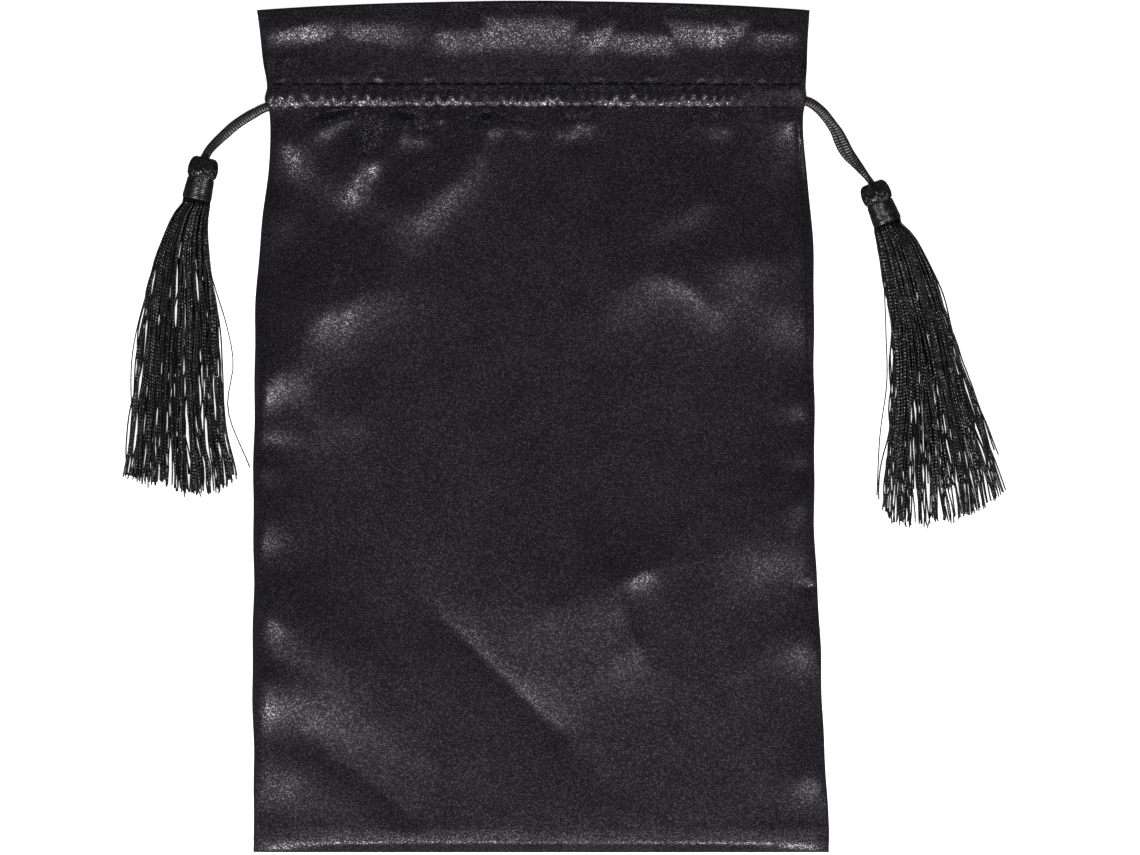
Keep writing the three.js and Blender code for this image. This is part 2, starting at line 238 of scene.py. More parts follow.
BACK_ROUTE = np.array([
    (-0.0880, 0.07175, 0.0034), (-0.08715, 0.0732, 0.0028), (-0.0854, 0.0752, 0.0015),
    (-0.0834, 0.0771, 0.0008), (-0.0807, 0.0795, 0.00075), (-0.0776, 0.0816, 0.00095),
    (-0.0749, 0.0831, 0.0014), (-0.0724, 0.0843, 0.00185), (-0.0660, 0.0858, 0.00185),
    (-0.0580, 0.0867, 0.00185), (-0.0300, 0.0869, 0.00185), (0.0000, 0.0869, 0.00185),
    (0.0300, 0.0869, 0.00185), (0.0580, 0.0868, 0.00185), (0.0700, 0.0860, 0.00185),
    (0.0730, 0.0842, 0.0013), (0.0754, 0.0815, 0.00075), (0.0772, 0.0784, 0.00075),
    (0.0786, 0.0752, 0.00075), (0.0804, 0.0722, 0.0010), (0.0830, 0.06955, 0.0018),
    (0.0850, 0.0673, 0.0029), (0.08695, 0.06485, 0.0034),
])

# How wide the braid is drawn across the bag, as a share of its full width. In metres: height of a
# rib, reach into the knob, step along the braid, half of the hidden length. Points round the braid.
PULLED = columns(
    "across width",
    [(-90, 0.85), (-86, 1.0), (-82, 1.13), (-77, 1.1), (-73, 0.95), (72, 1.0), (75, 0.95), (77.6, 0.75),
     (79.5, 0.95), (82, 1.0), (84.5, 0.85), (86, 0.68), (90, 0.65)],
)
RIB_HEIGHT = 0.00016
KNOB_LEAD = 0.0022
BRAID_STEP = 0.00009
CASING_HALF = 0.066
BRAID_SIDES = 28

# The stage, in metres: table, width that the camera sees, its shift, its sensor in millimetres.
TABLE_SIDE = 4.0
SEEN_WIDTH = 0.3008
CAMERA_SHIFT = 0.00784
SENSOR = 36.0
AMBIENT = 0.09
LIGHT_TINT = (1.0, 0.955, 1.0)

# Head of a tassel, in millimetres: a knob of looped threads over a wound collar.
HEAD_LENGTH = 11.6
COLLAR_LENGTH = 6.4
COLLAR_TOP = 3.62
COLLAR_FOOT = 4.0
HEAD_CENTRE = 4.15
KNOB_RIBS = 36
WINDING_TURNS = 13
WINDING_RADIUS = 0.26
KNOB_PROFILE = columns("radius along", [
    (0.0, 0.9),
    (0.9, 0.55),
    (1.7, 0.1),
    (2.7, 0.15),
    (3.5, 1.0),
    (3.9, 2.5),
    (3.95, 3.9),
    (3.75, 4.9),
    (3.4, 5.4),
    (2.2, 5.7),
    (0.0, 5.9),
])

# Skirt of a tassel: steps along a thread, number of locks, shares of the threads that lie in locks
# and that drift far, and half the thickness of a single stray ply.
SKIRT_STEPS = 30
LOCKS = 22
IN_LOCKS = 0.35
ASTRAY = 0.15
STRAY_RADIUS = 0.17

# How high a skirt stands off the table, down from its collar.
SKIRT_HEIGHT = columns(
    "down low high",
    [(0, 0.9, 7.2), (7, 0.1, 6.9), (20, 0.1, 5.2), (47, 0.1, 3.2), (80, 0.1, 2.0)],
)

# Each tassel: foot of its collar, lean of its head in degrees, the two sides of its skirt down
# from that foot, where its cut ends lie, and the stray threads that leave it.
TASSELS = {
    "left": {
        "foot": (-90.6, 59.8),
        "lean": 12.2,
        "sides": columns("down left right", [
            (-2, -93.0, -86.2),
            (0, -94.4, -86.9),
            (4.5, -97.3, -87.3),
            (10.8, -100.1, -87.3),
            (17, -102.2, -86.5),
            (30, -104.7, -84.6),
            (42.5, -106.4, -84.0),
            (61.5, -108.3, -82.1),
            (71, -109.4, -80.3),
            (80, -110.0, -79.4),
        ]),
        "ends": columns(
            "across up",
            [(-1, -12.5), (-0.7, -13.8), (-0.35, -14.6), (0, -16.4), (0.5, -17.0), (0.8, -15.5), (1, -12.5)],
        ),
        "short": (0.1, 4.0),
        "strays": [
            [(-93.5, 56.5), (-99.0, 47.0), (-103.0, 37.9), (-107.2, 22.0), (-108.0, 12.0), (-107.2, -2.0)],
            [(-88.5, 56.5), (-87.4, 43.0), (-82.6, 26.5), (-81.0, 17.0), (-82.4, 4.9), (-76.6, -10.6)],
        ],
        "seed": 11,
    },
    "right": {
        "foot": (91.6, 53.7),
        "lean": -22.0,
        "sides": columns("down left right", [
            (-2, 87.4, 94.6),
            (0, 87.8, 96.0),
            (3.1, 88.1, 98.6),
            (6.8, 88.6, 100.8),
            (14.2, 89.9, 104.2),
            (21.6, 91.4, 106.6),
            (29, 92.4, 109.4),
            (36.4, 92.7, 111.6),
            (47.5, 91.8, 115.6),
            (58.5, 90.7, 119.6),
            (69.6, 89.8, 123.2),
            (80, 89.3, 126.0),
        ]),
        "ends": columns(
            "across up",
            [(-1, -19.5), (-0.85, -24), (-0.65, -25.2), (0, -24.5), (0.35, -22.4), (0.6, -20.5),
             (0.85, -18), (1, -15)],
        ),
        "short": (0.38, 8.5),
        "strays": [
            [(96.0, 50.5), (102.4, 39.5), (107.2, 30.0), (111.9, 13.1), (115.7, 0.7), (122.3, -17.2)],
            [(89.2, 50.5), (90.6, 38.0), (91.2, 24.0), (91.4, 12.0), (89.6, -2.0), (88.8, -18.0)],
        ],
        "seed": 23,
    },
}


def colour_value(name, about, value):
    """A colour in the sidebar."""
    return bpy.props.FloatVectorProperty(
        name=name, description=about, subtype="COLOR", size=3, default=value
    )


def measure_value(name, about, unit, value):
    """A length or a power in the sidebar."""
    return bpy.props.FloatProperty(name=name, description=about, unit=unit, default=value)


class BagSatin(bpy.types.PropertyGroup):
    """The satin of the two panels."""

    colour: colour_value("Colour", "Colour of the satin", (0.0119, 0.0112, 0.0131))
    roughness: bpy.props.FloatProperty(
        name="Roughness", description="How dull the satin is", subtype="FACTOR", min=0, max=1, default=0.30
    )
    grain: measure_value("Grain", "Width of the grain of the weave", "LENGTH", 0.0002)


class BagBraid(bpy.types.PropertyGroup):
    """The flat braid of the drawstrings."""

    colour: colour_value("Colour", "Colour of the braid", (0.0105, 0.0098, 0.0100))
    width: measure_value("Width", "Width of the flat braid", "LENGTH", 0.0024)
    thickness: measure_value("Thickness", "Thickness of the flat braid", "LENGTH", 0.0011)
    rib: measure_value("Rib pitch", "Distance from one cross rib to the next", "LENGTH", 0.00076)


class BagFloss(bpy.types.PropertyGroup):
    """The threads of the tassels and the stitches."""

    colour: colour_value("Colour", "Colour of the threads", (0.0050, 0.0049, 0.0050))
    thread: measure_value("Thread", "Diameter of a tassel thread", "LENGTH", 0.00042)
    count: bpy.props.IntProperty(
        name="Threads", description="Threads in each tassel", min=20, max=600, default=175
    )
    twist: measure_value("Twist", "Length of thread in one turn of its plies", "LENGTH", 0.0009)


class BagStage(bpy.types.PropertyGroup):
    """The floor, the lights and the camera."""

    floor: colour_value("Floor", "Colour of the pale floor", (0.86, 0.86, 0.86))
    glow: bpy.props.FloatProperty(
        name="Floor glow", description="Light that the white table gives off", min=0, default=0.92
    )
    key: measure_value("Key", "Power of each softbox near the bottom edge", "POWER", 16.5)
    fill: measure_value("Fill", "Power of each side softbox", "POWER", 1.5)
    far: measure_value("Far", "Power of the faint softbox beyond the mouth", "POWER", 2.2)
    height: measure_value("Camera height", "Height of the camera above the floor", "LENGTH", 2.5)


def ease(t):
    """Smooth step from 0 to 1: 3 t squared minus 2 t cubed."""
    t = np.clip(t, 0, 1)
    return t * t * (3 - 2 * t)


def between(y, foot, rise, top, fall):
    """0 below the foot, 1 once risen, and 0 again past the fall from the top: two smooth steps."""
    return ease((y - foot) / rise) * (1 - ease((y - top) / fall))


def bell(distance, width, edge=2):
    """1 in the middle, falling off as exp(-(distance / width) ** edge)."""
    return np.exp(-((distance / width) ** edge))


def ring_angles(around):
    """Angles of the points round a ring, in radians."""
    return np.arange(around) * 2 * np.pi / around


def column_at(key, values, at):
    """Smooth curve through a column: cubic Hermite, each slope taken from its two neighbours."""
    before = np.maximum(np.arange(len(key)) - 1, 0)
    after = np.minimum(np.arange(len(key)) + 1, len(key) - 1)
    slopes = (values[after] - values[before]) / (key[after] - key[before])
    i = np.clip(np.searchsorted(key, at, side="right") - 1, 0, len(key) - 2)
    run = key[i + 1] - key[i]
    t = np.clip((at - key[i]) / run, 0, 1)
    rise = values[i + 1] - values[i]
    bend = (1 - t) * (slopes[i] * run - rise) - t * (slopes[i + 1] * run - rise)
    return values[i] + t * rise + t * (1 - t) * bend


def smooth_route(points, step):
    """Centripetal Catmull-Rom curve through the points, sampled evenly about every step."""
    ends = np.vstack([2 * points[0] - points[1], points, 2 * points[-1] - points[-2]])
    gaps = np.sqrt(np.linalg.norm(np.diff(ends, axis=0), axis=1))[:, None]
    chords = np.diff(ends, axis=0)
    across = (ends[2:] - ends[:-2]) / (gaps[:-1] + gaps[1:])
    out = (chords[:-1] / gaps[:-1] - across + chords[1:] / gaps[1:])
    start = out[:-1] * gaps[1:-1]
    stop = out[1:] * gaps[1:-1]
    t = np.linspace(0, 1, 60, endpoint=False)[None, :, None]
    a = points[:-1, None]
    b = points[1:, None]
    curve = (2 * t**3 - 3 * t**2 + 1) * a + (t**3 - 2 * t**2 + t) * start[:, None]
    curve = curve + (-2 * t**3 + 3 * t**2) * b + (t**3 - t**2) * stop[:, None]
    curve = np.vstack([curve.reshape(-1, 3), points[-1]])
    run = np.concatenate([[0], np.cumsum(np.linalg.norm(np.diff(curve, axis=0), axis=1))])
    count = int(round(run[-1] / step)) + 1
    even = np.linspace(0, run[-1], count)
    return np.stack([np.interp(even, run, curve[:, k]) for k in range(3)], axis=1), run[-1]


def fill_mesh(name, points, faces, marks, outward=False):
    """Puts arrays of faces into a new mesh, smooth, with its per-point marks, and rides it on the bag."""
    counts = np.concatenate([np.full(len(group), group.shape[1]) for group in faces])
    corners = np.concatenate([group.ravel() for group in faces]).astype(np.int32)
    starts = np.concatenate([[0], np.cumsum(counts)[:-1]]).astype(np.int32)
    mesh = bpy.data.meshes.new(name)
    mesh.vertices.add(len(points))
    mesh.vertices.foreach_set("co", np.ascontiguousarray(points, dtype=np.float32).ravel())
    mesh.loops.add(len(corners))
    mesh.loops.foreach_set("vertex_index", corners)
    mesh.polygons.add(len(counts))
    mesh.polygons.foreach_set("loop_start", starts)
    mesh.update(calc_edges=True)
    mesh.validate()
    mesh.polygons.foreach_set("use_smooth", np.ones(len(counts), dtype=bool))
    for mark, values in marks.items():
        layer = mesh.attributes.new(mark, "FLOAT", "POINT")
        layer.data.foreach_set("value", np.ascontiguousarray(values, dtype=np.float32))
    if outward:
        shell = bmesh.new()
        shell.from_mesh(mesh)
        bmesh.ops.recalc_face_normals(shell, faces=shell.faces[:])
        shell.to_mesh(mesh)
        shell.free()
    piece = bpy.data.objects.new(name, mesh)
    bpy.context.scene.collection.objects.link(piece)
    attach(piece, "root")
    return piece


def ring_faces(rows, around):
    """Quads of a tube of rings, closed around, and one cap polygon at each end."""
    ring = np.arange(around)
    ahead = (ring + 1) % around
    base = (np.arange(rows - 1) * around)[:, None]
    quads = np.stack([base + ring, base + ahead, base + around + ahead, base + around + ring], axis=-1)
    caps = np.stack([ring[::-1], ring + (rows - 1) * around])
    return quads.reshape(-1, 4), caps


def many_tubes(paths, radius, around, shade, gloss, twist, axes=None):
    """Round tubes along many paths at once: paths is (tubes, steps, 3), with its cross axes if given.

    Marks: shade and gloss of each tube, the run along it, and the cosine and sine of the turn about it,
    which are nothing where it has no twist."""
    tubes, steps = paths.shape[:2]
    sides, tops = axes or cross_axes(paths)
    angle = ring_angles(around)
    wheel_x = np.cos(angle)[None, None, :, None]
    wheel_y = np.sin(angle)[None, None, :, None]
    points = paths[:, :, None] + radius * (sides[:, :, None] * wheel_x + tops[:, :, None] * wheel_y)
    quads, caps = ring_faces(steps, around)
    shift = (np.arange(tubes) * steps * around)[:, None, None]
    faces = [(quads + shift).reshape(-1, 4), (caps + shift).reshape(-1, around)]
    gaps = np.linalg.norm(np.diff(paths, axis=1, prepend=paths[:, :1]), axis=2)
    plies = (twist > 0)[:, None, None]
    turn = angle[None, None] + twist[:, None, None] + np.zeros((tubes, steps, around))
    marks = {
        "shade": np.repeat(shade, steps * around),
        "gloss": np.repeat(gloss, steps * around),
        "run": np.repeat(np.cumsum(gaps, axis=1).ravel(), around),
        "turn_cos": (plies * np.cos(turn)).ravel(),
        "turn_sin": (plies * np.sin(turn)).ravel(),
    }
    return points.reshape(-1, 3), faces, marks


def join_parts(parts):
    """Several parts as one: their points, their faces moved on by the points before them, their marks."""
    starts = np.cumsum([0] + [len(points) for points, _, _ in parts])
    points = np.concatenate([points for points, _, _ in parts])
    faces = [group + start for (_, groups, _), start in zip(parts, starts) for group in groups]
    marks = {key: np.concatenate([part[2][key] for part in parts]) for key in parts[0][2]}
    return points, faces, marks


def cross_axes(paths):
    """Level side axis and upward axis across each path, from its direction and the vertical."""
    heading = np.gradient(paths, axis=-2)
    heading /= np.linalg.norm(heading, axis=-1, keepdims=True)
    side = np.cross(heading, np.array([0.0, 0.0, 1.0]))
    side /= np.maximum(np.linalg.norm(side, axis=-1, keepdims=True), 1e-9)
    return side, np.cross(side, heading)


def crest_place(x0, y0, x1, y1, bow, left, right, x, y):
    """Place beside a crest: distance aside over its fall, and distance past its middle half over its ends."""
    run_x = x1 - x0
    run_y = y1 - y0
    length = math.hypot(run_x, run_y)
    along = ((x - x0) * run_x + (y - y0) * run_y) / length - length / 2
    aside = ((y - y0) * run_x - (x - x0) * run_y) / length - bow * (1 - (2 * along / length) ** 2)
    beyond = np.maximum(0, np.abs(along) - length / 4)
    return aside / np.where(aside > 0, left, right), beyond / (length / 4 + min(left, right) / 2)


def crest_relief(crests, x, y):
    """Sum of the crests: high times exp(-d ** edge), d being the distance from the crest, round its ends."""
    relief = np.zeros_like(x)
    for *line, high, edge in zip(*crests.values()):
        relief += high * np.exp(-np.hypot(*crest_place(*line, x, y)) ** edge)
    return relief


def puff_relief(puffs, x, y):
    """Highest of the puffs: each a tent, high times (u + hypot(u, 0.2)) / 2 with u = 1 - hypot(aside, 0.2),
    which sinks past its ends as exp(-beyond ** 2)."""
    relief = np.zeros_like(x)
    for *line, high in zip(*puffs.values()):
        aside, beyond = crest_place(*line, x, y)
        flank = 1 - np.hypot(aside, 0.2)
        relief = np.maximum(relief, high * np.exp(-(beyond**2)) * (flank + np.hypot(flank, 0.2)) / 2)
    return relief


def casing_relief(x, y):
    """Lower row: a slight step up into the casing, with two rows of beads drawn up by the thread.

    Upper row: a groove, steep below and easy above. Over it, tufts and faint upright gathers."""
    sway = np.pi * x / BEAD_PITCH + 1.3 * np.sin(x / 6.1) + 0.7 * np.sin(x / 2.7 + 1.0)
    uneven = 0.8 + 0.2 * np.sin(x / 3.7 + 2.0)
    fade = 1 - ease((x - 42) / 20)
    lower = np.abs(np.sin(sway)) ** 1.7 * bell(y - LOWER_BEADS - 0.25 * np.sin(x / 1.9), BEAD_WIDTH)
    upper = np.abs(np.cos(sway)) ** 1.7 * bell(y - UPPER_BEADS + 0.25 * np.sin(x / 2.3), BEAD_WIDTH)
    beads = fade * uneven * (0.78 * lower + 0.92 * upper)
    step = (0.05 + 0.12 * fade) * between(y, LOWER_ROW, 1.4, 88, 3)
    hold = 0.6 + 0.4 * np.cos(2 * np.pi * x / STITCH_PITCH + 1.7 * np.sin(x / 5.0) + 0.8 * np.sin(x / 2.1))
    below = y - UPPER_ROW
    groove = -0.26 * hold * bell(below, np.where(below < 0, 0.6, 1.7))
    tuft = np.cos(2 * np.pi * x / 7.3 + 2.0 * np.sin(x / 9.0)) * np.cos(x / 4.4)
    above = 0.45 * bell(y - TUFTS, 0.75) * np.maximum(tuft - 0.35, 0)
    upright = np.sin(x / 0.9 + 2.2 * np.sin(x / 4.9)) * np.sin(x / 7.7 + 1.0)
    gathers = 0.05 * upright * between(y, 90.5, 2, 97, 6)
    return beads + step + groove + above + gathers


def cloth_ripple(x, y, seed, high):
    """Slight unevenness of the cloth: two dozen plane waves of 6 to 22 mm, in seeded directions."""
    draw = np.random.default_rng(seed)
    turns = draw.uniform(0, np.pi, RIPPLES)
    waves = draw.uniform(6, LONGEST_RIPPLE, RIPPLES)
    phases = draw.uniform(0, FULL_TURN, RIPPLES)
    ripple = np.zeros_like(x)
    for turn, wave, phase in zip(turns, waves, phases):
        onward = x * math.cos(turn) + y * math.sin(turn)
        ripple += wave / LONGEST_RIPPLE * np.sin(2 * np.pi * onward / wave + phase)
    return high * ripple / 3.4


def turned_cloth(y):
    """Thickness of the cloth: single, and thicker where the heading is turned down inside it."""
    return CLOTH + HEADING_EXTRA * ease((y - HEADING_FOOT) / 10)


def wall_at(y):
    """Thickness of a panel's wall: the cloth, and most round the cord."""
    return turned_cloth(y) + CASING_EXTRA * casing_swell(y)


def casing_swell(y):
    """How much of the casing's extra height is left at this place: a bell round the cord."""
    return bell(y - CASING_MIDDLE, 4.6)


def casing_lift(y, across):
    """Rise of the bag's sides over the cords: from the seam up into the casing, and down to the mouth."""
    swell = 1 - np.abs(2 * across - 1) ** 3
    seam = ease((y - SIDE_FOOT) / 25)
    wedge = ease((y - WEDGE_FOOT) / 41)
    inward = ease(np.minimum(across, 1 - across) / 0.07)
    tube = (seam + (wedge - seam) * inward) * (1 - ease((y - CASING_TOP) / 16))
    return 2 * CASING_EXTRA * tube * bell(swell, 0.5)


def seam_wall(y, across):
    """Extra thickness of the turned side seam, which fills the rise of the bag's sides down to the back."""
    share = 1 - ease(np.minimum(across, 1 - across) / 0.03)
    return share * np.maximum(0, casing_lift(y, across) - 2 * CASING_EXTRA * casing_swell(y))


def front_height(x, y, across):
    """Outer face of the front: rim + (crown - rim) (1 - |2u - 1| cubed), with folds, heading, casing, hem."""
    rim = 2 * turned_cloth(y) + 0.1
    crown = np.maximum(column_at(OUTLINE["up"], OUTLINE["crown"], y), rim)
    swell = 1 - np.abs(2 * across - 1) ** 3
    whole = 1 - np.exp(-22 * swell)
    high = rim + (crown - rim) * swell + casing_lift(y, across)
    body = between(y, BOTTOM, 9, FOLDS_FADE, 26)
    high = high + whole * body * crest_relief(FOLDS, x, y)
    high = high + whole * (1 - ease((y - WRINKLES_FADE) / 5)) * crest_relief(WRINKLES, x, y)
    high = high + whole * (1 - ease((y - BOTTOM - 2) / 9)) * crest_relief(HEM, x, y)
    high = high + whole * ease((y - PUFFS_FOOT) / 3) * puff_relief(PUFFS, x, y)
    inside = column_at(OUTLINE["up"], OUTLINE["right"], y) - x
    sewn = between(y, 0, 12, WRINKLES_FADE, 4)
    high = high - SEAM_DEPTH * sewn * bell(inside - SEAM_INSET, SEAM_WIDTH)
    return high + whole * (casing_relief(x, y) + cloth_ripple(x, y, 5, 0.07))


def side_edge(side, y):
    """Left or right edge of the bag up its length: the outline with a slight waver of two sines."""
    start = {"left": 0.4, "right": 2.1}[side]
    waver = 0.16 * np.sin(y / 7.9 + start) + 0.1 * np.sin(y / 3.4 + 3 * start)
    return column_at(OUTLINE["up"], OUTLINE[side], y) + waver


def stations(marks, steps):
    """Uneven stations: between each mark and the next, evenly about one step apart."""
    spans = zip(marks[:-1], marks[1:], steps)
    runs = [np.linspace(a, b, max(2, int(round((b - a) / s))), endpoint=False) for a, b, s in spans]
    return np.concatenate(runs + [[marks[-1]]])


def mouth_fall(across, y):
    """How far the mouth's edge bows down towards both sides: the square of the distance from the middle."""
    return MOUTH_DROP * (2 * across - 1) ** 2 * ease((y - UPPER_ROW) / (MOUTH - UPPER_ROW))


def lip_rows():
    """Stations round a half-round lip, from its tip up to its inner end: 1 - cos of an even angle."""
    angle = np.linspace(0.12, np.pi / 2, LIP_ROWS)
    return LIP * (1 - np.cos(angle[:-1]))


def panel_rows(steps):
    """Stations up a panel, closest in the hem, the casing and the heading, with a lip at each end."""
    lip = lip_rows()
    inside = stations([BOTTOM + LIP, HEM_TOP, WRINKLES_FADE, PUFFS_FOOT, MOUTH - LIP], steps)
    return np.concatenate([BOTTOM + lip, inside, MOUTH - lip[::-1]])


def panel_grid(rows, count):
    """Places of a panel's points: x, y, the share across and the mouth's fall, with a lip at both sides."""
    left = side_edge("left", rows)[:, None]
    right = side_edge("right", rows)[:, None]
    lip = lip_rows()
    even = np.linspace(0, 1, count - 2 * len(lip))[None]
    middle = left + LIP + (right - left - 2 * LIP) * even
    x = np.concatenate([left + lip, middle, right - lip[::-1]], axis=1)
    across = (x - left) / (right - left)
    return x, rows[:, None] + 0 * x, across, mouth_fall(across, rows[:, None])


def edge_distance(x, y):
    """Distances of a place on a panel from its nearer side and from its nearer end."""
    side = np.minimum(x - side_edge("left", y), side_edge("right", y) - x)
    end = np.minimum(y - BOTTOM, MOUTH - y)
    return side, end


def lip_share(x, y):
    """How much of the wall's half thickness is left near its edges: a quarter circle at every edge."""
    nearest_side, nearest_end = edge_distance(x, y)
    side = 1 - np.clip(1 - nearest_side / LIP, 0, 1) ** 2
    end = 1 - np.clip(1 - nearest_end / LIP, 0, 1) ** 2
    return np.sqrt(np.maximum(side * end, 1e-4))


def rim_mark(x, y):
    """1 on the turned edge of a panel, 0 from RIM inwards."""
    nearest_side, nearest_end = edge_distance(x, y)
    return 1 - ease((np.minimum(nearest_side, nearest_end) - LIP / 2) / RIM)


def panel_shell(name, upper, lower, rim):
    """Closed shell: upper face across, a tunnel mouth at the right, lower face back, another at the left.

    The lower face has a quarter of the columns, and each end is closed by a fan of triangles."""
    rows, wide = upper.shape[:2]
    narrow = lower.shape[1]
    right = tunnel_mouth(upper[:, -1], lower[:, -1], -1)
    left = tunnel_mouth(upper[:, 0], lower[:, 0], 1)[:, ::-1]
    loop = np.concatenate([upper, right, lower[:, ::-1], left], axis=1)
    around = loop.shape[1]
    quads, _ = ring_faces(rows, around)
    top = np.arange(wide)
    low = wide + right.shape[1] + np.arange(narrow)[::-1]
    k = np.arange(narrow - 1)
    fans = []
    for j in range(FINER):
        fans.append(np.stack([top[FINER * k + j], top[FINER * k + j + 1], low[k + (j > 1)]], axis=-1))
    fans.append(np.stack([top[FINER * k + 2], low[k + 1], low[k]], axis=-1))
    sides = [
        np.array([[top[-1], wide, wide + 1, low[-1]]]),
        np.array([[low[0], around - 2, around - 1, top[0]]]),
    ]
    far = (rows - 1) * around
    end_faces = [np.concatenate(fans), np.concatenate(sides)]
    faces = [quads] + [group + far for group in end_faces] + [group[:, ::-1] for group in end_faces]
    inside = np.ones((rows, 2))
    marks = {"rim": np.concatenate([rim, inside, rim[:, ::-FINER], inside], axis=1).ravel()}
    return fill_mesh(name, loop.reshape(-1, 3) * MM, faces, marks)


def tunnel_mouth(upper, lower, inward):
    """Two points per row that draw the side wall in where the cord leaves the casing."""
    depth = TUNNEL_DEPTH * bell(upper[:, 1] - TUNNEL, 1.9, 4)
    high = upper + 0.2 * (lower - upper)
    low = upper + 0.8 * (lower - upper)
    high[:, 0] += inward * depth
    low[:, 0] += inward * depth
    return np.stack([high, low], axis=1)


def node(tree, kind, **settings):
    """A new node with its settings."""
    made = tree.nodes.new(kind)
    for key, value in settings.items():
        setattr(made, key, value)
    return made


def set_inputs(made, values):
    """Sets plain values at a node's inputs."""
    for key, value in values.items():
        made.inputs[key].default_value = value


def dress(piece, name, weave):
    """Gives a piece the material of this name, woven at its first use."""
    if name not in bpy.data.materials:
        weave(name)
    piece.data.materials.append(bpy.data.materials[name])


def thread_grain():
    """Node group: a sparkle of short floats of yarn, a smooth grain to raise them by, and a broad cloud."""
    if "thread_grain" in bpy.data.node_groups:
        return bpy.data.node_groups["thread_grain"]
    tree = bpy.data.node_groups.new("thread_grain", "ShaderNodeTree")
    tree.interface.new_socket("Place", in_out="INPUT", socket_type="NodeSocketVector")
    for name in ("Fineness", "Mottle"):
        tree.interface.new_socket(name, in_out="INPUT", socket_type="NodeSocketFloat")
    for name in ("Sparkle", "Grain", "Cloud"):
        tree.interface.new_socket(name, in_out="OUTPUT", socket_type="NodeSocketFloat")
    given = node(tree, "NodeGroupInput")
    result = node(tree, "NodeGroupOutput")
    squeeze = node(tree, "ShaderNodeMapping")
    set_inputs(squeeze, {"Scale": (0.85, 1.0, 1.0)})
    floats = node(tree, "ShaderNodeTexVoronoi")
    fine = node(tree, "ShaderNodeTexNoise")
    set_inputs(fine, {"Detail": 0.0})
    broad = node(tree, "ShaderNodeTexNoise")
    set_inputs(broad, {"Detail": 3.0})
    apart = node(tree, "ShaderNodeSeparateColor")
    for giver, gives, taker, takes in (
        (given, "Place", squeeze, "Vector"),
        (squeeze, "Vector", floats, "Vector"),
        (squeeze, "Vector", fine, "Vector"),
        (given, "Place", broad, "Vector"),
        (given, "Fineness", floats, "Scale"),
        (given, "Fineness", fine, "Scale"),
        (given, "Mottle", broad, "Scale"),
        (floats, "Color", apart, "Color"),
        (apart, "Red", result, "Sparkle"),
        (fine, "Fac", result, "Grain"),
        (broad, "Fac", result, "Cloud"),
    ):
        tree.links.new(giver.outputs[gives], taker.inputs[takes])
    return tree


def sum_of(tree, operation, first, second=None):
    """A maths node fed by sockets or plain numbers, which gives its output."""
    made = node(tree, "ShaderNodeMath", operation=operation)
    for socket, value in zip(made.inputs, (first, second)):
        if isinstance(value, bpy.types.NodeSocket):
            tree.links.new(value, socket)
        elif value is not None:
            socket.default_value = value
    return made.outputs[0]


def spread_of(tree, value, low, high, to_low=0.0, to_high=1.0):
    """A map range node: takes low to high onto to_low to to_high."""
    made = node(tree, "ShaderNodeMapRange")
    set_inputs(made, {"From Min": low, "From Max": high, "To Min": to_low, "To Max": to_high})
    tree.links.new(value, made.inputs["Value"])
    return made.outputs["Result"]


def mark_of(tree, name):
    """The value of one of the piece's own marks."""
    return node(tree, "ShaderNodeAttribute", attribute_name=name).outputs["Fac"]


def yarn_material(name, fineness, mottle, tint):
    """A new yarn material with its grain: gives the tree, the shader, and the grain group's outputs."""
    material = bpy.data.materials.new(name)
    material.use_nodes = True
    tree = material.node_tree
    shader = tree.nodes["Principled BSDF"]
    place = node(tree, "ShaderNodeTexCoord")
    grain = node(tree, "ShaderNodeGroup", node_tree=thread_grain())
    set_inputs(grain, {"Fineness": fineness, "Mottle": mottle})
    tree.links.new(place.outputs["Object"], grain.inputs["Place"])
    set_inputs(shader, {"Specular Tint": (*tint, 1), "Coat Tint": (*tint, 1)})
    return tree, shader, grain.outputs


def colour_with_painted_light(tree, shader, colour, share, low, high):
    """Base colour: the yarn's colour from low to high times its strength, by a share, which carries painted
    shade and painted glints as well as the yarn's own tone.
    """
    mix = node(tree, "ShaderNodeMix", data_type="RGBA")
    set_inputs(mix, {"A": (*[c * low for c in colour], 1), "B": (*[c * high for c in colour], 1)})
    tree.links.new(share, mix.inputs["Factor"])
    tree.links.new(mix.outputs["Result"], shader.inputs["Base Color"])


def polish(shader, dull, coat, body):
    """Constant gloss: how dull the coat is, its index of refraction, and the body's specular level."""
    set_inputs(shader, {"Coat Roughness": dull, "Coat IOR": coat, "Specular IOR Level": body})


def raise_yarn(tree, shader, height, distance, strength):
    """Normal: a bump of so many metres, which gives the bumped normal."""
    relief = node(tree, "ShaderNodeBump")
    set_inputs(relief, {"Strength": strength, "Distance": distance})
    tree.links.new(height, relief.inputs["Height"])
    tree.links.new(relief.outputs["Normal"], shader.inputs["Normal"])
    return relief.outputs["Normal"]


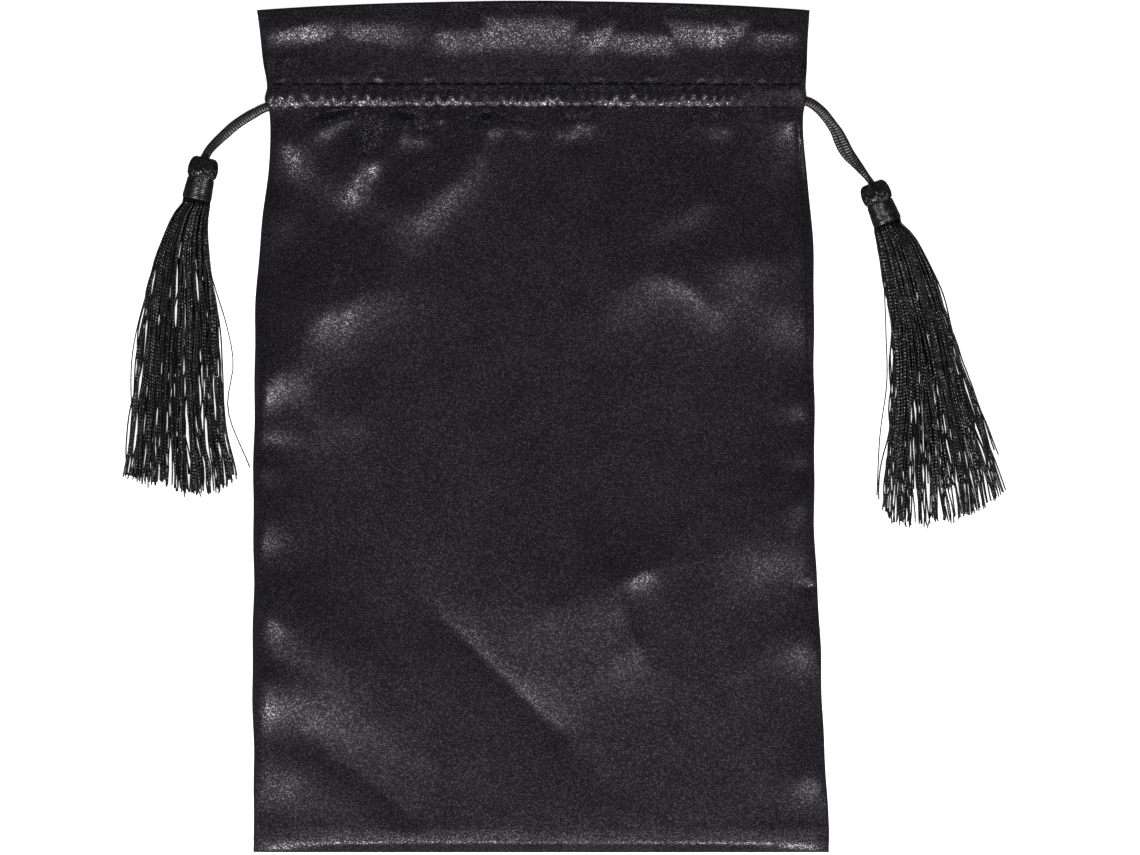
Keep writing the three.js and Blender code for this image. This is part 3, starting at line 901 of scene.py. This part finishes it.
def satin_material(name):
    """The panels' satin: floats of yarn glint through its coat in a dull ground, its colour is lifted at the
    same floats as a painted glint over a random cloud, and the turned edges are dull.
    """
    satin = bpy.context.scene.bag_satin
    tree, shader, yarn = yarn_material(name, 1 / satin.grain, 90, (1.0, 0.95, 1.0))
    rim = mark_of(tree, "rim")
    # Base colour: a random mottle times a painted glint, which lifts the colour up to 3.4 times at the bright
    # floats of yarn.
    yarn_tone_and_painted_glint = sum_of(tree, "POWER", yarn["Sparkle"], 2.0)
    colour_with_painted_light(tree, shader, satin.colour, sum_of(tree, "MULTIPLY", yarn_tone_and_painted_glint, yarn["Cloud"]), 0.45, 3.4)
    dull = spread_of(tree, yarn["Grain"], 0, 1, satin.roughness - 0.08, satin.roughness + 0.10)
    tree.links.new(sum_of(tree, "ADD", dull, sum_of(tree, "MULTIPLY", rim, 0.35)), shader.inputs["Roughness"])
    glint = sum_of(tree, "POWER", yarn["Sparkle"], 8.0)
    plain = sum_of(tree, "SUBTRACT", 1.0, rim)
    tree.links.new(sum_of(tree, "MULTIPLY", glint, plain), shader.inputs["Coat Weight"])
    polish(shader, satin.roughness, 2.45, 0.1)
    raise_yarn(tree, shader, yarn["Grain"], 0.0002, 0.3)


def braid_material(name):
    """The drawstrings' braid: dull in the hollows, glossy on top of its ribs, with its colour darkened in the
    hollows and along its rounded edges as painted shade and lightened on the rib tops and glints as painted
    highlight.
    """
    braid = bpy.context.scene.bag_braid
    tree, shader, yarn = yarn_material(name, 3800, 300, (1.0, 0.97, 0.97))
    glints = spread_of(tree, yarn["Sparkle"], 0.0, 0.8, 0.25, 1.0)
    rib = sum_of(tree, "MULTIPLY", mark_of(tree, "rib"), glints)
    # Base colour by the rib mark: painted shade in the hollows and on the rounded edges, painted highlight on
    # the rib tops and glints.
    colour_with_painted_light(tree, shader, braid.colour, rib, 0.4, 1.9)
    tree.links.new(spread_of(tree, yarn["Grain"], 0, 1, 0.36, 0.52), shader.inputs["Roughness"])
    tree.links.new(rib, shader.inputs["Coat Weight"])
    polish(shader, 0.38, 1.9, 0.12)
    raise_yarn(tree, shader, yarn["Grain"], 0.0002, 0.3)


def floss_material(name):
    """The tassels' floss: two plies twisted together, which glint once a turn.

    Twist: cosine of the run along the thread in turns, less the turn about it."""
    floss = bpy.context.scene.bag_floss
    tree, shader, yarn = yarn_material(name, 1600, 260, (1.0, 1.0, 1.0))
    phase = sum_of(tree, "MULTIPLY", mark_of(tree, "run"), 2 * math.pi * MM / floss.twist)
    level = sum_of(tree, "MULTIPLY", sum_of(tree, "COSINE", phase), mark_of(tree, "turn_cos"))
    upright = sum_of(tree, "MULTIPLY", sum_of(tree, "SINE", phase), mark_of(tree, "turn_sin"))
    twist = sum_of(tree, "ADD", level, upright)
    # Share of colour: a random tone for each skirt thread, and painted shade where the shade mark is low: the
    # knob's rib valleys, the neck core and the stitches.
    share = sum_of(tree, "MULTIPLY", mark_of(tree, "shade"), spread_of(tree, yarn["Cloud"], 0.3, 0.7))
    colour_with_painted_light(tree, shader, floss.colour, share, 0.5, 2.0)
    tree.links.new(spread_of(tree, mark_of(tree, "gloss"), 0, 0.4, 0.85, 0.38), shader.inputs["Roughness"])
    glint = sum_of(tree, "MULTIPLY", mark_of(tree, "gloss"), sum_of(tree, "POWER", yarn["Sparkle"], 1.5))
    tree.links.new(glint, shader.inputs["Coat Weight"])
    polish(shader, 0.24, 2.2, 0.15)
    tree.links.new(raise_yarn(tree, shader, twist, 0.00006, 1.0), shader.inputs["Coat Normal"])


def floss_piece(name, parts):
    """Joins parts in millimetres into one piece of floss."""
    points, faces, marks = join_parts(parts)
    piece = fill_mesh(name, points * MM, faces, marks, outward=True)
    dress(piece, "tassel_floss", floss_material)
    return piece


class BAG_OT_stage(bpy.types.Operator):
    """Lays the white table, hangs the softboxes and sets the camera straight above the bag."""

    bl_idname = "bag.stage"
    bl_label = "Stage"

    def execute(self, context):
        stage = context.scene.bag_stage
        side = TABLE_SIDE
        corners = [(-side, -side, 0), (side, -side, 0), (side, side, 0), (-side, side, 0)]
        mesh = bpy.data.meshes.new("white_table")
        mesh.from_pydata(corners, [], [(0, 1, 2, 3)])
        floor = bpy.data.objects.new("white_table", mesh)
        context.scene.collection.objects.link(floor)
        paint = bpy.data.materials.new("white_table")
        paint.use_nodes = True
        shader = paint.node_tree.nodes["Principled BSDF"]
        white = (1, 1, 1, 1)
        set_inputs(shader, {"Base Color": (*stage.floor, 1), "Roughness": 0.9, "Specular IOR Level": 0.0})
        set_inputs(shader, {"Emission Color": white, "Emission Strength": stage.glow})
        mesh.materials.append(paint)
        floor.visible_glossy = False
        self.softbox("near_left_softbox", (-0.50, -0.90, 0.86), 0.75, 0.42, stage.key)
        self.softbox("near_right_softbox", (0.50, -0.90, 0.86), 0.75, 0.42, stage.key)
        self.softbox("left_softbox", (-1.04, -0.7, 0.82), 0.4, 0.3, stage.fill)
        self.softbox("right_softbox", (1.04, -0.7, 0.82), 0.4, 0.3, stage.fill)
        self.softbox("far_softbox", (0.0, 1.2, 0.95), 1.6, 0.6, stage.far)
        world = bpy.data.worlds.new("studio")
        world.use_nodes = True
        set_inputs(world.node_tree.nodes["Background"], {"Color": white, "Strength": AMBIENT})
        context.scene.world = world
        context.scene.view_settings.view_transform = "Standard"
        lens = bpy.data.cameras.new("camera")
        lens.sensor_width = SENSOR
        lens.lens = SENSOR * stage.height / SEEN_WIDTH
        lens.dof.use_dof = False
        camera = bpy.data.objects.new("camera", lens)
        camera.location = (CAMERA_SHIFT, 0.0, stage.height)
        context.scene.collection.objects.link(camera)
        context.scene.camera = camera
        return {"FINISHED"}

    def softbox(self, name, place, wide, high, power):
        """An area light at a place, turned to the bag."""
        light = bpy.data.lights.new(name, "AREA")
        light.shape = "RECTANGLE"
        light.size = wide
        light.size_y = high
        light.energy = power
        light.color = LIGHT_TINT
        lamp = bpy.data.objects.new(name, light)
        lamp.location = place
        away = np.array(place)
        away = away / np.linalg.norm(away)
        tilt = math.acos(away[2])
        turn = math.atan2(away[0], -away[1])
        lamp.rotation_euler = (tilt, 0, turn)
        bpy.context.scene.collection.objects.link(lamp)


class BAG_OT_drawstrings(bpy.types.Operator):
    """Carries a flat ribbed braid along the route of each drawstring and on into the tassels' knobs.

    Section: half width cos a, half thickness sin a, raised by cross ribs on its flat faces. It is
    drawn narrower and rounder where it is pulled tight."""

    bl_idname = "bag.drawstrings"
    bl_label = "Drawstrings"

    def execute(self, context):
        braid = context.scene.bag_braid
        for face, route in (("front", FRONT_ROUTE), ("back", BACK_ROUTE)):
            path, along, length = self.ribbed_path(route)
            side, top = cross_axes(path)
            angle = ring_angles(BRAID_SIDES)[None]
            pull = np.interp(path[:, 0] / MM, PULLED["across"], PULLED["width"])[:, None]
            flat = ease((1.0 - np.abs(np.cos(angle))) / 0.5)
            slant = 0.12 * np.cos(angle)
            rib = np.abs(np.cos(np.pi * (along[:, None] / braid.rib + slant))) ** 0.8
            grown = RIB_HEIGHT * (flat + 0.25) * (rib - 0.6)
            wide = (braid.width / 2 * pull + 0.5 * grown) * np.cos(angle)
            thick = (braid.thickness / 2 / np.sqrt(pull) + grown) * np.sin(angle)
            points = path[:, None] + wide[..., None] * side[:, None] + thick[..., None] * top[:, None]
            quads, caps = ring_faces(len(path), BRAID_SIDES)
            # Rib mark: the ribs' height on the flat faces, which sets the coat and also paints shade into the
            # hollows and onto the rounded edges.
            marks = {"rib": (rib * (0.3 + 0.7 * flat)).ravel()}
            piece = fill_mesh("braid_" + face, points.reshape(-1, 3), [quads, caps], marks, outward=True)
            dress(piece, "corded_braid", braid_material)
            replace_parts(piece, "drawstring_" + face)
        return {"FINISHED"}

    def ribbed_path(self, route):
        """The route with a short lead into each knob, in fine steps outside the casing and coarse inside."""
        into_left = self.lead(route[0], route[1])
        into_right = self.lead(route[-1], route[-2])
        fine, length = smooth_route(np.vstack([into_left, route, into_right]), BRAID_STEP)
        along = np.linspace(0, length, len(fine))
        hidden = np.abs(fine[:, 0]) < CASING_HALF
        keep = ~hidden | (np.arange(len(fine)) % 6 == 0)
        return fine[keep], along[keep], length

    def lead(self, end, before):
        """The point a short way past an end of the route, straight on."""
        return end + KNOB_LEAD * (end - before) / np.linalg.norm(end - before)


class BAG_OT_panels(bpy.types.Operator):
    """Makes the creased front panel and the flat back panel as closed shells of cloth."""

    bl_idname = "bag.panels"
    bl_label = "Panels"

    def execute(self, context):
        x, y, across, drop = panel_grid(panel_rows(FRONT_STEPS), FINER * FRONT_COLUMNS + 1)
        wall = wall_at(y) + seam_wall(y, across)
        front = self.walled("satin_front", x, y, drop, front_height(x, y, across) - wall / 2, wall)
        x, y, _, drop = panel_grid(panel_rows(BACK_STEPS), FINER * BACK_COLUMNS + 1)
        wall = wall_at(y)
        back = self.walled("satin_back", x, y, drop, wall / 2, wall)
        for piece, panel in ((front, "front_panel"), (back, "back_panel")):
            dress(piece, "black_satin", satin_material)
            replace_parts(piece, panel)
        return {"FINISHED"}

    def walled(self, name, x, y, drop, middle, wall):
        """A panel of this wall about its middle height, thinned to a lip along every edge."""
        half = lip_share(x, y) * wall / 2
        upper = np.stack([x, y - drop, middle + half], axis=-1)
        lower = np.stack([x, y - drop, middle - half], axis=-1)[:, ::FINER]
        return panel_shell(name, upper, lower, rim_mark(x, y))


class BAG_OT_tassels(bpy.types.Operator):
    """Makes each tassel: a ribbed knob of looped threads, a wound collar and a skirt of loose threads."""

    bl_idname = "bag.tassels"
    bl_label = "Tassels"

    def execute(self, context):
        floss = context.scene.bag_floss
        for side, tassel in TASSELS.items():
            bundle = [self.knob(tassel), self.skirt(tassel, floss), self.strays(tassel)]
            collar = [self.winding(tassel), self.core(tassel)]
            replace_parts(floss_piece("threads_" + side, bundle), "tassel_" + side)
            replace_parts(floss_piece("winding_" + side, collar), "tassel_collar_" + side)
        return {"FINISHED"}

    def axes(self, tassel):
        """Foot of the collar, and the directions down, across and up of the leaning head."""
        turn = math.radians(tassel["lean"])
        foot = np.array([*tassel["foot"], HEAD_CENTRE])
        down = np.array([-math.sin(turn), -math.cos(turn), 0])
        across = np.array([math.cos(turn), -math.sin(turn), 0])
        return foot, down, across, np.array([0, 0, 1.0])

    def turned(self, tassel, reach, radius, angle):
        """Points of a turned shape: so far down the head's axis, so far out from it, at an angle."""
        foot, down, across, up = self.axes(tassel)
        wheel = np.cos(angle)[..., None] * across + np.sin(angle)[..., None] * up
        return foot + reach[..., None] * down + radius[..., None] * wheel, wheel

    def knob(self, tassel):
        """Turned profile whose radius is ribbed by the threads looped over it: |sin| of the turn."""
        stops = np.arange(len(KNOB_PROFILE["radius"]), dtype=float)
        t = np.linspace(0, stops[-1], 48)
        radius = np.maximum(column_at(stops, KNOB_PROFILE["radius"], t), 0.02)[:, None]
        reach = column_at(stops, KNOB_PROFILE["along"], t)[:, None] - HEAD_LENGTH
        around = KNOB_RIBS * 6
        angle = ring_angles(around)[None] + np.zeros_like(reach)
        rib = KNOB_RIBS / 2 * (angle + 0.04 * np.sin(t)[:, None])
        ridge = np.abs(np.sin(rib))
        swell = radius + 0.24 * (ridge - 0.75) * np.minimum(1, radius / 2.4)
        points, _ = self.turned(tassel, reach + 0 * angle, swell, angle)
        quads, caps = ring_faces(len(t), around)
        start = 2.4 * np.floor(rib / np.pi) ** 2
        marks = {
            # Shade mark: colour darker in the valleys between the ribs and lighter on their tops, as painted
            # shade.
            "shade": (0.2 + 0.8 * ridge).ravel(),
            "gloss": (0.7 * ridge).ravel(),
            "run": (0.62 * t[:, None] + 0 * angle).ravel(),
            "turn_cos": (1.3 * np.cos(start)).ravel(),
            "turn_sin": (1.3 * np.sin(start)).ravel(),
        }
        return points.reshape(-1, 3), [quads, caps], marks

    def barrel(self, t):
        """Radius of the collar from its top to its foot: a slight flare, rounded off at both rims."""
        return COLLAR_TOP + (COLLAR_FOOT - COLLAR_TOP) * t - 0.25 * np.abs(2 * t - 1) ** 8

    def winding(self, tassel):
        """One thread wound round the neck: a helix on the barrel."""
        thread = WINDING_RADIUS
        t = np.linspace(0, 1, WINDING_TURNS * 40)
        angle = 2 * np.pi * WINDING_TURNS * t
        reach = -COLLAR_LENGTH + thread + (COLLAR_LENGTH - 2 * thread) * t
        path, wheel = self.turned(tassel, reach, self.barrel(t) - thread, angle)
        _, down, _, _ = self.axes(tassel)
        axes = np.broadcast_to(down, path.shape)[None], wheel[None]
        return many_tubes(path[None], thread, 8, np.ones(1), np.ones(1), np.zeros(1), axes)

    def core(self, tassel):
        """Plain neck inside the winding, which closes the gaps between its turns, in the darkest and dullest
        thread colour as painted shade in those gaps.
        """
        t = np.linspace(0, 1, 24)[:, None]
        angle = ring_angles(48)[None] + 0 * t
        reach = -COLLAR_LENGTH + 0.2 + (COLLAR_LENGTH - 0.4) * t + 0 * angle
        points, _ = self.turned(tassel, reach, self.barrel(t) - 0.36 + 0 * angle, angle)
        quads, caps = ring_faces(24, 48)
        # All marks nought: the darkest thread colour, painted shade between the turns.
        flat = np.zeros(angle.size)
        marks = dict.fromkeys(("shade", "gloss", "run", "turn_cos", "turn_sin"), flat)
        return points.reshape(-1, 3), [quads, caps], marks

    def skirt(self, tassel, floss):
        """Threads fanned from the collar between the skirt's two sides, a third of them in locks.

        Each keeps its share of the width, drifts a little, sways in a slow and a quick wave, and sinks
        from the round neck to the flat spread."""
        draw = np.random.default_rng(tassel["seed"])
        count = floss.count
        thread = floss.thread / MM
        t = np.linspace(0, 1, SKIRT_STEPS)[None]
        locks = draw.uniform(-1, 1, LOCKS)
        loose = draw.permutation(np.linspace(-1, 1, count)) + draw.normal(0, 0.02, count)
        gathered = locks[np.arange(count) % LOCKS] + draw.normal(0, 0.045, count)
        place = np.clip(np.where(draw.uniform(0, 1, count) < IN_LOCKS, gathered, loose), -0.99, 0.99)
        layer = draw.permutation(count) / count
        astray = draw.uniform(0, 1, count) < ASTRAY
        far_drift = draw.normal(0, 0.3, count)
        drift = np.where(astray, far_drift, draw.normal(0, 0.08, count))
        share = np.clip(place[:, None] + drift[:, None] * t**2, -1.0, 1.0)
        ends = tassel["ends"]
        cut = column_at(ends["across"], ends["up"], share[:, -1]) + draw.normal(0, 0.6, count)
        part, by = tassel["short"]
        cut = cut + np.where(draw.uniform(0, 1, count) < part, by + draw.normal(0, 0.9, count), 0)
        foot, down, across, _ = self.axes(tassel)
        neck = foot - 1.2 * down + (COLLAR_FOOT - 0.5) * place[:, None] * across
        y = neck[:, 1:2] + (cut[:, None] - neck[:, 1:2]) * t
        depth = np.clip(foot[1] - y, -2, None)
        sides = tassel["sides"]
        left = column_at(sides["down"], sides["left"], depth) + thread / 2
        right = column_at(sides["down"], sides["right"], depth) - thread / 2
        fan = (left + right) / 2 + share * (right - left) / 2
        free = ease((neck[:, 1:2] - y) / 5)
        slow = np.abs(draw.normal(0, 0.4, (count, 1)))
        quick = np.abs(draw.normal(0, 0.17, (count, 1)))
        sway = np.zeros_like(depth)
        for swing, shortest, longest in ((slow, 28, 60), (quick, 10, 17)):
            turns = 2 * np.pi * depth / draw.uniform(shortest, longest, (count, 1))
            sway = sway + swing * np.sin(turns + draw.uniform(0, FULL_TURN, (count, 1)))
        x = (1 - free) * neck[:, 0:1] + free * fan + sway * ease(depth / 25)
        low = column_at(SKIRT_HEIGHT["down"], SKIRT_HEIGHT["low"], depth) + thread / 2
        high = column_at(SKIRT_HEIGHT["down"], SKIRT_HEIGHT["high"], depth) - thread / 2
        arch = np.sqrt(np.maximum(1 - share**2, 0.02))
        z = (low + high) / 2 + (2 * layer[:, None] - 1) * arch * (high - low) / 2
        paths = np.stack([x, y, np.maximum(z, thread / 2)], axis=-1)
        shade = draw.uniform(0.2, 1.0, count)
        gloss = draw.uniform(0.1, 1.0, count) ** 1.5
        return many_tubes(paths, thread / 2, 4, shade, gloss, draw.uniform(0.1, FULL_TURN, count))

    def strays(self, tassel):
        """Single plies that have slipped out of the skirt: thin tubes along smooth routes on the table."""
        routes = []
        for places in tassel["strays"]:
            depth = tassel["foot"][1] - np.array(places)[:, 1]
            height = np.interp(depth, [0, 12, 70], [4.0, 1.6, 0.4])
            route, _ = smooth_route(np.column_stack([places, height]), 1.0)
            routes.append(route[np.linspace(0, len(route) - 1, 24).astype(int)])
        paths = np.stack(routes)
        whole = np.ones(len(paths))
        return many_tubes(paths, STRAY_RADIUS, 4, whole, 0.4 * whole, 0 * whole)


class BAG_OT_stitching(bpy.types.Operator):
    """Sews the rows of the casing and the right seam: short threads that dip into the satin at both ends."""

    bl_idname = "bag.stitching"
    bl_label = "Stitching"

    def execute(self, context):
        parts = [self.row(*stitch_row) for stitch_row in zip(*STITCHES.values())]
        floss_piece("stitching", parts)
        return {"FINISHED"}

    def row(self, x, y, to_x, to_y, pitch, length, thick, seed):
        """One row of stitches: places every pitch, a little uneven, each bowed above the satin."""
        draw = np.random.default_rng(int(seed))
        run = math.hypot(to_x - x, to_y - y)
        count = int(run / pitch)
        middle = (np.arange(count) + 0.5 + draw.uniform(-0.12, 0.12, count)) * run / count
        reach = length * draw.uniform(0.75, 1.1, count)
        t = np.linspace(-0.5, 0.5, 7)[None]
        along = (middle[:, None] + reach[:, None] * t) / run
        across_x = x + (to_x - x) * along
        across_y = y + (to_y - y) * along + draw.normal(0, 0.08, (count, 1))
        left = side_edge("left", across_y)
        right = side_edge("right", across_y)
        share = (across_x - left) / (right - left)
        height = front_height(across_x, across_y, share) + thick * (0.3 - 2.4 * t**2)
        paths = np.stack([across_x, across_y - mouth_fall(share, across_y), height], axis=-1)
        # Every stitch takes the darkest, dullest thread colour; in the upper row this is partly painted shade
        # in the groove.
        flat = np.zeros(count)
        return many_tubes(paths, thick / 2, 5, flat, flat, flat)


class BAG_PT_sidebar(bpy.types.Panel):
    """Lists the bag's sizes, its finishes and the steps that make it."""

    bl_idname = "BAG_PT_sidebar"
    bl_label = "Drawstring bag"
    bl_space_type = "VIEW_3D"
    bl_region_type = "UI"
    bl_category = "Bag"

    def draw(self, context):
        for group in GROUPS:
            box = self.layout.box()
            values = getattr(context.scene, group)
            for key in values.__annotations__:
                box.prop(values, key)
        for step in STEPS:
            self.layout.operator(step.bl_idname)


GROUPS = {"bag_satin": BagSatin, "bag_braid": BagBraid, "bag_floss": BagFloss, "bag_stage": BagStage}
STEPS = (BAG_OT_stage, BAG_OT_drawstrings, BAG_OT_panels, BAG_OT_stitching, BAG_OT_tassels)


def register():
    """Registers the classes and hangs their properties on the scene."""
    for name, group in GROUPS.items():
        bpy.utils.register_class(group)
        setattr(bpy.types.Scene, name, bpy.props.PointerProperty(type=group))
    for step in STEPS:
        bpy.utils.register_class(step)
    bpy.utils.register_class(BAG_PT_sidebar)


def unregister():
    """Takes the classes and their properties away again."""
    bpy.utils.unregister_class(BAG_PT_sidebar)
    for step in reversed(STEPS):
        bpy.utils.unregister_class(step)
    for name, group in GROUPS.items():
        delattr(bpy.types.Scene, name)
        bpy.utils.unregister_class(group)


def main():
    """Registers the add-on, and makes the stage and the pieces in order."""
    register()
    bpy.ops.bag.stage()
    bpy.ops.bag.drawstrings()
    bpy.ops.bag.panels()
    bpy.ops.bag.stitching()
    bpy.ops.bag.tassels()


if __name__ == "__main__":
    main()
